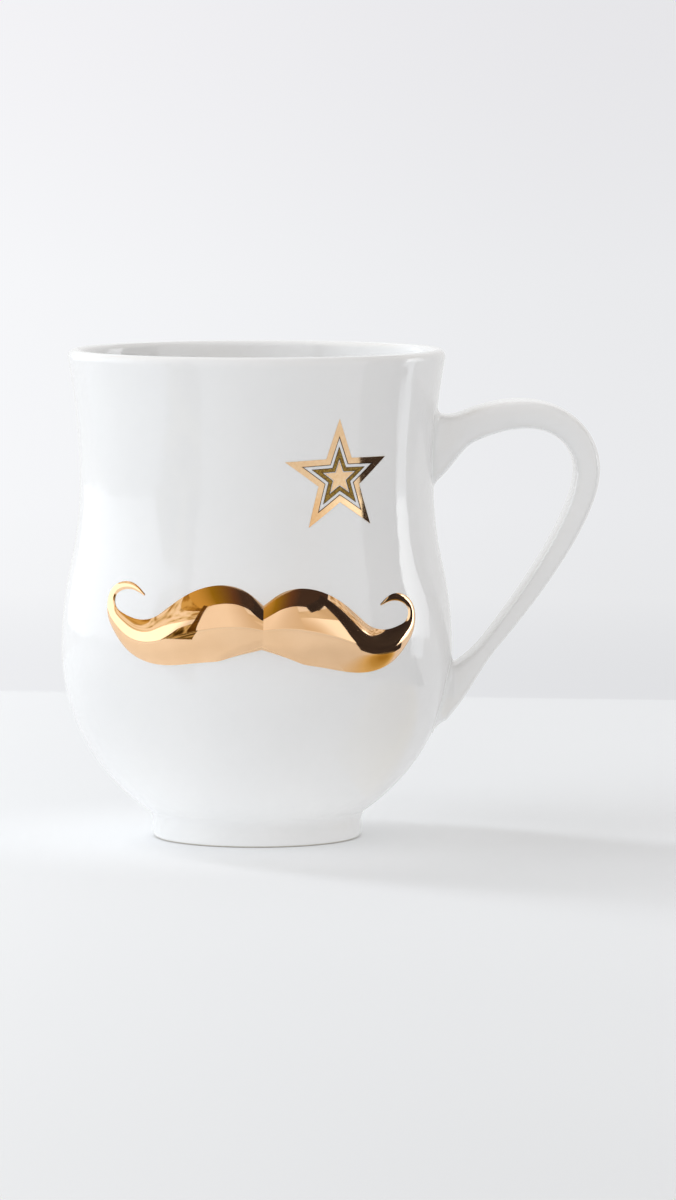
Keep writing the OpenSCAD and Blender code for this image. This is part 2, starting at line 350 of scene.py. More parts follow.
def glow(name, colour_of, strength=1):
    """A finish that shines by itself, with a colour worked out from the place on it."""
    material, tree, output = new_tree(name)
    tree.links.new(shine(tree, colour_of(tree), strength), output.inputs["Surface"])
    return material


def show_to(sheet, camera=False, light=False, mirror=False):
    """
    Chooses which rays meet a sheet: the camera's, those that light the cup, or its reflections. A sheet that
    gives no light isn't searched for light either, because that search only adds grain.
    """
    sheet.visible_camera = camera
    sheet.visible_diffuse = light
    sheet.visible_shadow = light
    sheet.visible_glossy = mirror
    if not light:
        sheet.active_material.cycles.emission_sampling = "NONE"


def ways(corners):
    """Directions from turns to the right of the front and rises from level, in degrees."""
    turn, rise = np.radians(np.array(corners, float)).T
    return np.stack([np.sin(turn) * np.cos(rise), -np.cos(turn) * np.cos(rise), np.sin(rise)], axis=1)


def card(name, middle, corners, distance, material, steps=12):
    """A card bent round a point at one distance, between four corner directions, the lower two first."""
    low_left, low_right, high_right, high_left = corners
    rows = [np.linspace(low_left, low_right, steps + 1), np.linspace(high_left, high_right, steps + 1)]
    at = np.arange(steps)
    faces = np.stack([at, at + 1, at + steps + 2, at + steps + 1], axis=1)
    return sheet_object(name, middle + distance * ways(np.vstack(rows)), material, faces.tolist())


def oblong(left, right, low, high):
    """Corners of a card between two turns and two rises."""
    return [(left, low), (right, low), (right, high), (left, high)]


# %% Daylight
LIGHT_AWAY = 1.3
WINDOW_AT = (-140, -127, 28, 60)
WINDOW_STRENGTH = 10.4
SIDE_WALL_AT = (-102, -52, 5, 56)
SIDE_STRENGTH = 2.0


def stretched_place(tree, scale):
    """The place of a point in its object, with each axis multiplied by a scale of its own."""
    return add_node(tree, "Mapping", {"Vector": object_place(tree), "Scale": scale}).outputs["Vector"]


def streaks(tree, scale, stops, detail=3):
    """Noise drawn out along an axis, as a colour."""
    return colour_ramp(tree, noise(tree, stretched_place(tree, scale), scale=1, detail=detail), stops)


def window_light(tree):
    """Daylight through a curtain: pale, slightly cool, with soft upright folds."""
    return streaks(tree, (9, 9, 0.4), [(0.3, (0.83, 0.88, 0.93)), (0.62, (0.93, 0.97, 1.0))], detail=2)


show_to(wall, camera=True)
for name, at, finish, strength in (
    ("window", WINDOW_AT, "window_light", WINDOW_STRENGTH),
    ("side_wall", SIDE_WALL_AT, "side_light", SIDE_STRENGTH),
):
    show_to(card(name, CUP_MIDDLE, oblong(*at), LIGHT_AWAY, glow(finish, window_light, strength)), light=True)
print("Daylight from two sheets")

# %% Room
ROOM_LEVEL = (0.515, 0.505, 0.495)
ROOM_OVERHEAD = (0.97, 0.95, 0.93)
ROOM_SEEN = (0.87, 0.87, 0.87)


def make_room():
    """A pale room that lights the cup more from overhead than from level, with one tone where it is seen."""
    world = bpy.data.worlds.new("room")
    world.use_nodes = True
    tree = world.node_tree
    tree.nodes.clear()
    path = add_node(tree, "LightPath").outputs
    seen = calculate(tree, "MAXIMUM", path["Is Camera Ray"], path["Is Glossy Ray"])
    seen = calculate(tree, "MAXIMUM", seen, path["Is Transmission Ray"])
    way = add_node(tree, "TexCoord").outputs["Generated"]
    rise = add_node(tree, "SeparateXYZ", {"Vector": way}).outputs["Z"]
    tone = colour_ramp(tree, rise, [(0, ROOM_LEVEL), (1, ROOM_OVERHEAD)])
    light = add_node(tree, "Background", {"Color": tone}).outputs["Background"]
    plain = add_node(tree, "Background", {"Color": (*ROOM_SEEN, 1)}).outputs["Background"]
    add_node(tree, "OutputWorld", {"Surface": mix_shaders(tree, seen, light, plain)})
    bpy.context.scene.world = world


make_room()
print("World:", bpy.context.scene.world.name)

# %% Picture
bpy.context.scene.view_settings.view_transform = "Standard"
# Guided by the faces' directions too, the denoiser takes the last noise on the thin handle for a texture.
bpy.context.scene.cycles.denoising_input_passes = "RGB_ALBEDO"

# %% [markdown]
# ## What the gold mirrors
# A mirror finish is only as good as the room it mirrors. The bright gold shows a brown ceiling, dark
# furniture at the right, a bright doorway beside it and a wooden screen at the left. Each is a card that
# only reflections can see, so it changes neither the light on the cup nor its shadow.

# %% Places in the mirrored room
CEILING_Z = 1.05
CEILING_HALF_W = 0.85
CEILING_FRONT_Y = -0.56
CEILING_BACK_Y = 1.1
LEFT_LOBE = np.array([-0.02, -0.04, 0.051])
RIGHT_LOBE = np.array([0.025, -0.04, 0.051])
LIP_SIDE = np.array([0.03, -0.026, 0.09])
NEAR = 1.2
SCREEN_AWAY = 1.25
BOARDS_AWAY = 1.4
FAR = 1.6
FRONT_WALL_AWAY = 1.9


def laid(name, middle, corners, material):
    """A card on the table, with its corners where directions from a point come down to it."""
    way = ways(corners)
    return sheet_object(name, middle - (middle[2] - MM) * way / way[:, 2:], material)


# %% Walls and ceiling of the mirrored room


def ceiling_wood(tree):
    """Dark wood: amber at the left, brown and then nearly black to the right."""
    across = map_range(tree, place_along(tree, "X"), -CEILING_HALF_W, CEILING_HALF_W, 0, 1)
    return colour_ramp(tree, across, [
        (0.0, (0.62, 0.40, 0.10)),
        (0.16, (0.30, 0.19, 0.015)),
        (0.34, (0.20, 0.115, 0.025)),
        (0.52, (0.12, 0.058, 0.03)),
        (0.72, (0.055, 0.038, 0.034)),
    ])


def front_wall(tree):
    """A wall behind the camera, bright at the left and dimmer to the right."""
    return colour_ramp(tree, map_range(tree, place_along(tree, "X"), -1.4, 0.8, 0, 1), [
        (0.1, (0.97, 0.95, 0.94)),
        (0.45, (0.96, 0.94, 0.92)),
        (0.75, (0.80, 0.75, 0.69)),
        (1, (0.70, 0.62, 0.50)),
    ])


def bright_doorway(tree):
    """A beige wall that passes into a bright, cool opening."""
    return colour_ramp(tree, map_range(tree, place_along(tree, "Y"), -1.5, -0.6, 0, 1), [
        (0, (0.56, 0.48, 0.37)),
        (0.25, (0.70, 0.66, 0.60)),
        (0.6, (0.86, 0.90, 0.92)),
        (0.9, (0.94, 0.99, 1.0)),
    ])


def beige_wall(tree):
    """Plain beige, slightly mottled."""
    return two_tone(tree, noise(tree, object_place(tree), scale=2), (0.62, 0.54, 0.41), (0.74, 0.67, 0.54))


def curtain_light(tree):
    """A strip of daylight that fades towards its far side."""
    fade = map_range(tree, place_along(tree, "Y"), 0.2, 0.8, 0, 1)
    return colour_ramp(tree, fade, [(0, (0.95, 0.98, 1)), (1, (0.4, 0.41, 0.42))])


def window_seen(tree):
    """The window wall, which is dimmer towards the front."""
    fade = map_range(tree, place_along(tree, "Y"), -0.95, -0.4, 0, 1)
    return colour_ramp(tree, fade, [(0, (0.48, 0.49, 0.5)), (1, (0.93, 0.97, 1.0))])


# %% Furniture of the mirrored room
TRAY_AT = np.array([0.12, -0.025, 0])
TRAY_SCALE = np.array([0.8, 1.8, 1])
TRAY_REACH = 0.08
TRAY_FADE = (0.055, 0.088)
TRAY_SHEET = [(0.03, -0.08, MM), (0.24, -0.08, MM), (0.24, 0.03, MM), (0.03, 0.03, MM)]


def dark_furniture(tree):
    """Nearly black wood, slightly mottled."""
    tone = noise(tree, object_place(tree), scale=2)
    return two_tone(tree, tone, (0.028, 0.022, 0.024), (0.05, 0.042, 0.042))


def dark_wood(tree):
    """Dark brown wood, slightly mottled."""
    tone = noise(tree, object_place(tree), scale=4)
    return two_tone(tree, tone, (0.075, 0.032, 0.004), (0.15, 0.075, 0.012))


def old_screen(tree):
    """Streaky wood, from dark brown over olive to pale."""
    return streaks(tree, (9, 9, 2), [
        (0.38, (0.05, 0.025, 0.005)),
        (0.5, (0.2, 0.13, 0.03)),
        (0.6, (0.62, 0.5, 0.26)),
    ])


def wood_shelf(tree):
    """Shelves of amber wood with dark gaps."""
    return streaks(tree, (2.5, 2.5, 9), [
        (0.36, (0.22, 0.11, 0.012)),
        (0.5, (0.44, 0.26, 0.05)),
        (0.64, (0.66, 0.47, 0.16)),
    ])


def pale_boards(tree):
    """Pale boards with amber joints."""
    return streaks(tree, (2.5, 2.5, 12), [
        (0.36, (0.45, 0.30, 0.10)),
        (0.47, (0.80, 0.72, 0.50)),
        (0.6, (0.98, 0.95, 0.88)),
    ])


def pale_shelf(tree):
    """Pale things before a wall, with amber between them."""
    return streaks(tree, (14, 14, 9), [(0.4, (0.42, 0.29, 0.12)), (0.56, (0.88, 0.85, 0.78))])


def amber_tray():
    """A long tray of amber wood that grows paler outwards and fades out at its edge."""
    material, tree, output = new_tree("amber_tray")
    place, middle = stretched_place(tree, TRAY_SCALE), TRAY_SCALE * TRAY_AT
    away = add_node(tree, "VectorMath", {0: place, 1: middle}, operation="DISTANCE").outputs["Value"]
    amber = colour_ramp(tree, map_range(tree, away, 0, TRAY_REACH, 0, 1), [
        (0.1, (0.37, 0.23, 0.04)),
        (0.6, (0.52, 0.37, 0.11)),
        (0.85, (0.68, 0.55, 0.28)),
    ])
    clear = add_node(tree, "BsdfTransparent").outputs["BSDF"]
    mixed = mix_shaders(tree, map_range(tree, away, *TRAY_FADE, 0, 1), shine(tree, amber), clear)
    tree.links.new(mixed, output.inputs["Surface"])
    return material


# %% Cards for reflections
# A card's corners are turns to the right of the front and rises from level, in degrees
dark = glow("dark_furniture", dark_furniture)
brown = glow("dark_wood", dark_wood)
screen = glow("old_screen", old_screen)
mirrored = [
    sheet_object("ceiling", [
        (-CEILING_HALF_W, CEILING_FRONT_Y, CEILING_Z),
        (CEILING_HALF_W, CEILING_FRONT_Y, CEILING_Z),
        (CEILING_HALF_W, CEILING_BACK_Y, CEILING_Z),
        (-CEILING_HALF_W, CEILING_BACK_Y, CEILING_Z),
    ], glow("ceiling_wood", ceiling_wood)),
    card("beam", CUP_MIDDLE, [(41, 42), (80, 50), (80, 66), (41, 62)], NEAR, dark),
    card("cupboard_top", CUP_MIDDLE, [(75, 34), (105, 34), (98, 56), (80, 56)], NEAR, dark),
    card("cupboard", CUP_MIDDLE, [(68, 9), (104, 12), (105, 34), (75, 34)], NEAR, dark),
    card("cupboard_low", CUP_MIDDLE, [(68, -3), (99, -3), (98, 13), (68, 10)], NEAR, dark),
    laid("cupboard_floor", RIGHT_LOBE, [(68, -18), (122, -18), (101, -1.9), (68, -1.9)], dark),
    card("front_wall", CUP_MIDDLE, oblong(-46, 24, -2, 62), FRONT_WALL_AWAY, glow("front_wall", front_wall)),
    card("doorway", CUP_MIDDLE, oblong(22, 80, -2, 31), FAR, glow("bright_doorway", bright_doorway, 1.25)),
    card("side_room", CUP_MIDDLE, oblong(22, 82, 31, 46), FAR, glow("beige_wall", beige_wall)),
    card("shelf", CUP_MIDDLE, [(103, 25), (134, 25), (120, 46), (103, 46)], FAR,
         glow("pale_shelf", pale_shelf)),
    card("curtain", CUP_MIDDLE, oblong(98, 120, -3, 24), FAR, glow("curtain", curtain_light, 4.3)),
    laid("curtain_floor", LIP_SIDE, [(112, -12), (100, -12), (100, -3), (113, -3)],
         glow("floor_light", window_light, 2)),
    card("window_seen", CUP_MIDDLE, oblong(-152, -54, -3, 27), FAR, glow("window_seen", window_seen, 1.7)),
    card("pale_boards", CUP_MIDDLE, oblong(-130, -50, 26, 41), BOARDS_AWAY, glow("pale_boards", pale_boards)),
    card("boards", CUP_MIDDLE, oblong(-125, -50, 41, 56), BOARDS_AWAY, glow("wood_shelf", wood_shelf)),
    laid("screen_floor", LEFT_LOBE, [(-60, -10), (-37, -26), (-38, -1.9), (-70, -1.9)], screen),
    card("screen", CUP_MIDDLE, [(-72, -3), (-40, -3), (-46, 18), (-62, 14)], SCREEN_AWAY, screen),
    card("screen_edge", CUP_MIDDLE, [(-47, -3), (-39, -3), (-44, 24), (-50, 24)], NEAR, brown),
    card("screen_edge_top", CUP_MIDDLE, [(-50, 24), (-44, 24), (-52, 50), (-60, 50)], NEAR, brown),
    sheet_object("tray", TRAY_SHEET, amber_tray()),
]
for sheet in mirrored:
    show_to(sheet, mirror=True)

# %% [markdown]
# ## From a grid of points to a mesh
# Every piece of the cup is a grid of points: rows along it and columns round it. The columns always close
# on themselves. The rows close too on a ring, such as a band, and otherwise each end is closed by a fan
# of triangles. The volume that the faces enclose comes out negative when they point inwards, and then all
# of them are turned round.

# %% Grid to mesh
SHARP = math.radians(38)


def closed_faces(rows, columns, ring):
    """Corner numbers of the four-sided faces of a grid, and of the fans at its ends."""
    number = np.arange(rows * columns).reshape(rows, columns)
    here = number if ring else number[:-1]
    after = np.roll(number, -1, axis=0) if ring else number[1:]
    quads = np.stack([here, np.roll(here, -1, 1), np.roll(after, -1, 1), after], axis=-1).reshape(-1, 4)
    if ring:
        return quads, np.empty((0, 3), int)
    first = np.full(columns, rows * columns)
    start = np.stack([np.roll(number[0], -1), number[0], first], axis=-1)
    end = np.stack([number[-1], np.roll(number[-1], -1), first + 1], axis=-1)
    return quads, np.vstack([start, end])


def enclosed_volume(points, triangles):
    """A sixth of the sum of each triangle's corners multiplied as a box: a . (b x c)."""
    a, b, c = (points[triangles[:, i]] for i in range(3))
    return np.einsum("ij,ij->", a, np.cross(b, c)) / 6


def closed_piece(name, grid, node, material, ring=False, across=None):
    """Makes the mesh over a grid, gives it its finish and puts it in the place of a solid."""
    rows, columns = grid.shape[:2]
    points = grid.reshape(-1, 3)
    if not ring:
        points = np.vstack([points, grid[0].mean(axis=0), grid[-1].mean(axis=0)])
    quads, fans = closed_faces(rows, columns, ring)
    volume = enclosed_volume(points, np.vstack([quads[:, [0, 1, 2]], quads[:, [0, 2, 3]], fans]))
    if volume < 0:
        quads, fans = quads[:, ::-1], fans[:, ::-1]

    mesh = bpy.data.meshes.new(name)
    mesh.from_pydata(points.tolist(), [], quads.tolist() + fans.tolist())
    mesh.shade_smooth()
    mesh.set_sharp_from_angle(angle=SHARP)
    if across is not None:
        values = np.broadcast_to(across, (rows, columns)).astype(np.float32).ravel()
        values = np.append(values, np.zeros(len(points) - len(values), np.float32))
        mesh.attributes.new("across", "FLOAT", "POINT").data.foreach_set("value", values)
    mesh.materials.append(material)

    piece = bpy.data.objects.new(name, mesh)
    bpy.context.collection.objects.link(piece)
    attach(piece, "root")
    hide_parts(node)
    print(f"{name}: {len(quads) * 2 + len(fans)} triangles, {abs(volume) / MM ** 3:.0f} cubic mm")


# %% [markdown]
# ## White glaze
# The body and the handle wear one white glaze over white clay. Glaze is glass: smooth, with a clear
# reflection, but never quite even. It pools and thins in slow clouds, and its skin is faintly dimpled.
# The ring under the foot is wiped before firing, so bare matt clay shows there. A bump is enough for the
# dimples, because they are far too shallow to change an outline.

# %% White glaze
BARE_CLAY_Z = 0.2 * MM
BARE_CLAY_ROUGH = 0.7
DIMPLE_DEPTH = 0.05 * MM
GLASS_IOR = 1.5


def white_glaze():
    """White glass over clay: clouds in its colour, slow changes of gloss, shallow dimples and a bare foot."""
    material, tree, output = new_tree("white_glaze")
    place = object_place(tree)
    cloud = noise(tree, place, scale=38, detail=3)
    white = two_tone(tree, cloud, (0.868, 0.872, 0.874), (0.893, 0.893, 0.89))
    grit = noise(tree, place, scale=900, detail=4)
    clay = two_tone(tree, grit, (0.60, 0.56, 0.50), (0.72, 0.68, 0.62))
    bare = map_range(tree, place_along(tree, "Z"), BARE_CLAY_Z, 2 * BARE_CLAY_Z, 1, 0)
    gloss = vary(tree, noise(tree, place, scale=120), 0.045, 0.085)
    broad, fine = noise(tree, place, scale=70), noise(tree, place, scale=420, detail=1)
    dimples = calculate(tree, "MULTIPLY", broad, fine)
    skin = add_node(tree, "Bump", {"Height": dimples, "Distance": DIMPLE_DEPTH, "Strength": 1})
    principled(tree, output, {
        "Base Color": mix(tree, "RGBA", bare, white, clay),
        "Roughness": mix(tree, "FLOAT", bare, gloss, BARE_CLAY_ROUGH),
        "Normal": skin.outputs["Normal"],
        "IOR": GLASS_IOR,
    })
    return material


GLAZE = white_glaze()
print("Finish:", GLAZE.name)

# %% [markdown]
# ## The body
# A mug's body is thrown or cast, so it is round about its axis, and one half section says everything. The
# wall is four arcs, each tangent to the next: bowl, swell, shoulder and flare. The inside follows the
# same arcs a wall's thickness further in. Turning the half section round the axis gives the whole body,
# from the recess under the foot, over the lip, to the floor inside. The Screw modifier could turn it too.
# Here it becomes a grid, so that one helper closes and measures every piece.

# %% Arcs of the wall
BOWL_R = ((BELLY_Z - FOOT_H) ** 2 + (BELLY_R - FOOT_R) ** 2) / (2 * (BELLY_R - FOOT_R))
BOWL_C = (BELLY_R - BOWL_R, BELLY_Z)
OGEE_R = ((NECK_Z - BELLY_Z) ** 2 + BELLY_OUT ** 2) / (4 * BELLY_OUT)
OGEE_A = math.asin((NECK_Z - BELLY_Z) / (2 * OGEE_R))
SWELL_C = (BELLY_R - OGEE_R, BELLY_Z)
SHOULDER_C = (NECK_R + OGEE_R, NECK_Z)
LIP_C = (NECK_R + LIP_OUT - WALL / 2, CUP_H - WALL / 2)
FLARE_R = ((LIP_C[1] - NECK_Z) ** 2 + LIP_OUT ** 2) / (2 * LIP_OUT) - WALL / 2
FLARE_A = math.asin((LIP_C[1] - NECK_Z) / (FLARE_R + WALL / 2))
FLARE_C = (NECK_R + FLARE_R, NECK_Z)


def wall_r(z):
    """Radius of the outer wall at a height, on the arc that the height falls in."""
    def reach(radius, middle_z):
        """How far a circle reaches sideways at the height."""
        return np.sqrt(np.maximum(radius ** 2 - (z - middle_z) ** 2, 0))

    bounds = [z < BELLY_Z, z < BELLY_Z + OGEE_R * math.sin(OGEE_A), z < NECK_Z]
    arcs = [
        BOWL_C[0] + reach(BOWL_R, BELLY_Z),
        SWELL_C[0] + reach(OGEE_R, BELLY_Z),
        SHOULDER_C[0] - reach(OGEE_R, NECK_Z),
    ]
    return np.select(bounds, arcs, FLARE_C[0] - reach(FLARE_R, NECK_Z))


print(f"Wall radius under the lip: {float(wall_r(np.array(LIP_C[1]))) / MM:.1f} mm")

# %% Half section of the body
AXIS_GAP = 1 * MM
SAME_POINT = 0.001 * MM
BODY_COLUMNS = 240
FLOOR_Z = RECESS_H + FLOOR_T
HOLLOW_R = BOWL_R - WALL
FLOOR_FILLET_A = math.asin((BELLY_Z - FLOOR_Z - FLOOR_FILLET) / (HOLLOW_R - FLOOR_FILLET))
FLOOR_FILLET_X = BOWL_C[0] + (HOLLOW_R - FLOOR_FILLET) * math.cos(FLOOR_FILLET_A)
FLOOR_FILLET_C = (FLOOR_FILLET_X, FLOOR_Z + FLOOR_FILLET)
FOOT_FILLET_A = math.acos((FOOT_R + FOOT_FILLET - BOWL_C[0]) / (BOWL_R + FOOT_FILLET))
FOOT_FILLET_C = (FOOT_R + FOOT_FILLET, BELLY_Z - (BOWL_R + FOOT_FILLET) * math.sin(FOOT_FILLET_A))


def arc(centre, radius, start, end, steps):
    """Points along a circle from one angle to another: centre + radius (cos, sin)."""
    angle = np.linspace(start, end, steps + 1)
    return np.stack([centre[0] + radius * np.cos(angle), centre[1] + radius * np.sin(angle)], axis=1)


def straight(start, end, steps):
    """Points along a straight line from one point to another."""
    return np.linspace(start, end, steps + 1)


def upper_wall(inset):
    """The wall from the belly to the lip, moved inwards by an inset: swell, shoulder and flare."""
    return [
        arc(SWELL_C, OGEE_R - inset, 0, OGEE_A, 24),
        arc(SHOULDER_C, OGEE_R + inset, math.pi + OGEE_A, math.pi, 24),
        arc(FLARE_C, FLARE_R + inset, math.pi, math.pi - FLARE_A, 24),
    ]


def body_section():
    """
    The half section, from the middle of the recess round the outside and in to the middle of the floor. It
    is a chain of arcs and straight runs, and the last number of each is its count of steps.
    """
    half = math.pi / 2
    ring_in = FOOT_R - FOOT_RING_W
    recess_c = (ring_in - RECESS_FILLET, RECESS_H - RECESS_FILLET)
    runs = [
        straight((AXIS_GAP, RECESS_H), (recess_c[0], RECESS_H), 8),
        arc(recess_c, RECESS_FILLET, half, 0, 6),
        arc((ring_in + FOOT_EDGE, FOOT_EDGE), FOOT_EDGE, math.pi, 3 * half, 6),
        straight((ring_in + FOOT_EDGE, 0), (FOOT_R - FOOT_EDGE, 0), 4),
        arc((FOOT_R - FOOT_EDGE, FOOT_EDGE), FOOT_EDGE, 3 * half, 4 * half, 6),
        arc(FOOT_FILLET_C, FOOT_FILLET, math.pi, math.pi - FOOT_FILLET_A, 8),
        arc(BOWL_C, BOWL_R, -FOOT_FILLET_A, 0, 48),
        *upper_wall(0),
        arc(LIP_C, WALL / 2, -FLARE_A, math.pi - FLARE_A, 20),
        *[run[::-1] for run in reversed(upper_wall(WALL))],
        arc(BOWL_C, HOLLOW_R, 0, -FLOOR_FILLET_A, 32),
        arc(FLOOR_FILLET_C, FLOOR_FILLET, -FLOOR_FILLET_A, -half, 20),
        straight((FLOOR_FILLET_X, FLOOR_Z), (AXIS_GAP, FLOOR_Z), 6),
    ]
    section = np.vstack(runs)
    step = np.linalg.norm(np.diff(section, axis=0), axis=1)
    return section[np.append(True, step > SAME_POINT)]


def lathe(section, columns):
    """A half section of (radius, height) turned round the axis: (r cos a, r sin a, z)."""
    turn = np.linspace(0, 2 * np.pi, columns, endpoint=False)
    radius, height = section[:, :1], section[:, 1:]
    return np.stack([radius * np.cos(turn), radius * np.sin(turn), height + 0 * turn], axis=-1)


closed_piece("body", lathe(body_section(), BODY_COLUMNS), "cup_body", GLAZE)

# %% [markdown]
# ## The handle
# The handle is a pulled strap: flat, with rounded edges, thicker at the top, and spread where it is luted
# to the wall. Its line is two curves that meet, upright, at the outermost point and bend equally there. A
# section carried along that line gives the strap. The section is a squared oval, and it turns upright as
# it nears the wall. The last millimetres run out into the wall in a hollow curve, as wet clay does when a
# finger smooths the joint. The hollow is wider at the lower joint, where the strap meets the bowl aslant.
# A curve with a bevel could give the strap, but neither its spread nor its hollows.

# %% Sizes of the handle
HANDLE_TOP_Z = CUP_H - 21.5 * MM
HANDLE_LOW_Z = BELLY_Z - 11 * MM
HANDLE_OUT = 33.2 * MM
HANDLE_BOW_Z = CUP_H - 27.4 * MM
HANDLE_T_TOP = 7.6 * MM
HANDLE_T_LOW = 2.8 * MM
HANDLE_W = 14 * MM
HANDLE_SQUARE = 4
BOW_SHARE = 0.42
JOINT_TOP_H = 17.2 * MM
JOINT_LOW_H = 11 * MM
JOINT_W = 16.5 * MM
JOINT_TOP_L = 8.5 * MM
JOINT_LOW_L = 16 * MM
JOINT_FILLET = 1.2 * MM
JOINT_LOW_FILLET = 3.4 * MM
JOINT_SINK = 1.2 * MM
HANDLE_TOP_A = math.radians(31)
HANDLE_LOW_A = math.radians(48)
TOP_ARM = 27 * MM
BOW_ARM = 9.3 * MM
LOW_ARM = 28.5 * MM
print(f"Handle {HANDLE_W / MM:.0f} mm wide, {HANDLE_OUT / MM:.1f} mm out from the belly")

# %% Line of the handle
CURVE_POINTS = 600


def strap_t(share):
    """Thickness of the strap at a share of its length."""
    return HANDLE_T_TOP + (HANDLE_T_LOW - HANDLE_T_TOP) * share


def cubic_curve(corners, count):
    """A curve from the first corner to the last: weights s^3, 3 s^2 t, 3 s t^2 and t^3, with s = 1 - t."""
    t = np.linspace(0, 1, count)[:, None]
    weights = [(1 - t) ** 3, 3 * (1 - t) ** 2 * t, 3 * (1 - t) * t ** 2, t ** 3]
    return sum(weight * np.array(corner) for weight, corner in zip(weights, corners))


def along(line):
    """Length of a line up to each of its points."""
    return np.append(0, np.cumsum(np.linalg.norm(np.diff(line, axis=0), axis=1)))


def handle_line():
    """The strap's middle line in its own plane: two cubic curves with equal bend where they meet."""
    top = np.array([wall_r(np.array(HANDLE_TOP_Z)), HANDLE_TOP_Z])
    low = np.array([wall_r(np.array(HANDLE_LOW_Z)), HANDLE_LOW_Z])
    bow = np.array([BELLY_R + HANDLE_OUT - strap_t(BOW_SHARE) / 2, HANDLE_BOW_Z])
    shoulder = top + TOP_ARM * np.array([math.cos(HANDLE_TOP_A), math.sin(HANDLE_TOP_A)])
    heel = low + LOW_ARM * np.array([math.cos(HANDLE_LOW_A), math.sin(HANDLE_LOW_A)])
    bow_arm_down = BOW_ARM * math.sqrt((bow[0] - heel[0]) / (bow[0] - shoulder[0]))
    over = cubic_curve([top, shoulder, bow + [0, BOW_ARM], bow], CURVE_POINTS)
    down = cubic_curve([bow, bow - [0, bow_arm_down], heel, low], CURVE_POINTS)
    return np.vstack([over, down[1:]])


HANDLE_LINE = handle_line()
HANDLE_L = along(HANDLE_LINE)[-1]
print(f"Strap {HANDLE_L / MM:.0f} mm long")

# %% Skin of the handle
HANDLE_RINGS = 360
HANDLE_SIDES = 112
END_CROWDING = 0.88
END_SPARE = 2 * MM
TILT_STEP = 0.1 * MM


def power(x, exponent):
    """A power that keeps the sign."""
    return np.sign(x) * np.abs(x) ** exponent


def unit(v):
    """A direction with the length of one."""
    return v / np.linalg.norm(v, axis=-1, keepdims=True)


def handle_grid(rings, sides):
    """
    The strap's skin. At each place along the line, the section is middle + across p t/2 + sideways q w/2,
    where (p, q) runs round a squared oval: p = cos^(2/n), q = sin^(2/n). Near the wall each point moves out,
    square to the wall's normal, by the height of a quarter circle of hollow.
    """
    even = np.linspace(0, 1, rings)
    crowded = even - END_CROWDING * np.sin(2 * np.pi * even) / (2 * np.pi)
    reach = JOINT_SINK + JOINT_FILLET + END_SPARE
    place = -reach + (HANDLE_L + 2 * reach) * crowded
    length = along(HANDLE_LINE)
    middle = np.stack([np.interp(place, length, HANDLE_LINE[:, i]) for i in range(2)], axis=1)
    middle[:, 0] += np.minimum(place, 0) - np.maximum(place - HANDLE_L, 0)
    slope = np.gradient(HANDLE_LINE, length, axis=0)
    to = unit(np.stack([np.interp(place, length, slope[:, i]) for i in range(2)], axis=1))

    top = np.clip(1 - place / JOINT_TOP_L, 0, 1)[:, None] ** 2
    low = np.clip(1 - (HANDLE_L - place) / JOINT_LOW_L, 0, 1)[:, None] ** 2
    grip = strap_t(np.clip(place / HANDLE_L, 0, 1))[:, None]
    t = grip + (JOINT_TOP_H - grip) * top + (JOINT_LOW_H - grip) * low
    w = HANDLE_W + (JOINT_W - HANDLE_W) * (top + low)
    across = unit((1 - top - low) * np.stack([-to[:, 1], to[:, 0]], axis=1) + (top - low) * [0, 1])

    angle = np.linspace(0, 2 * np.pi, sides, endpoint=False)
    p, q = power(np.cos(angle), 2 / HANDLE_SQUARE), power(np.sin(angle), 2 / HANDLE_SQUARE)
    x = middle[:, :1] + across[:, :1] * p * t / 2
    z = middle[:, 1:] + across[:, 1:] * p * t / 2
    y = q * w / 2

    p_out = power(np.cos(angle), 2 - 2 / HANDLE_SQUARE) / t
    q_out = power(np.sin(angle), 2 - 2 / HANDLE_SQUARE) / w
    outward = np.stack([across[:, :1] * p_out, q_out, across[:, 1:] * p_out], axis=-1)
    tilt = (wall_r(z + TILT_STEP) - wall_r(z - TILT_STEP)) / (2 * TILT_STEP)
    radius = np.hypot(x, y)
    wall_out = unit(np.stack([x / radius, y / radius, -tilt], axis=-1))
    outward = unit(outward - wall_out * np.sum(outward * wall_out, axis=-1, keepdims=True))
    fillet = JOINT_FILLET + (JOINT_LOW_FILLET - JOINT_FILLET) * low
    near = np.clip(fillet - (radius - wall_r(z)), 0, fillet)
    hollow = fillet - np.sqrt(fillet ** 2 - near ** 2)
    points = np.stack([x, y, z], axis=-1) + outward * hollow[..., None]

    radius = np.hypot(points[..., 0], points[..., 1])
    sunk = np.maximum(1, (wall_r(points[..., 2]) - JOINT_SINK) / radius)
    points[..., :2] *= sunk[..., None]
    return points


closed_piece("handle_strap", handle_grid(HANDLE_RINGS, HANDLE_SIDES), "handle", GLAZE)

# %% [markdown]
# ## Bright gold
# The mustache is gilded with bright gold: a film of gold so thin that it copies the glaze under it, and
# mirrors the room. So it is a metal with very little roughness. The colour wanders slightly, as the film
# is brushed on, and a slow, shallow bump makes the reflections waver as they do on clay.

# %% Bright gold
WAVE_DEPTH = 0.03 * MM


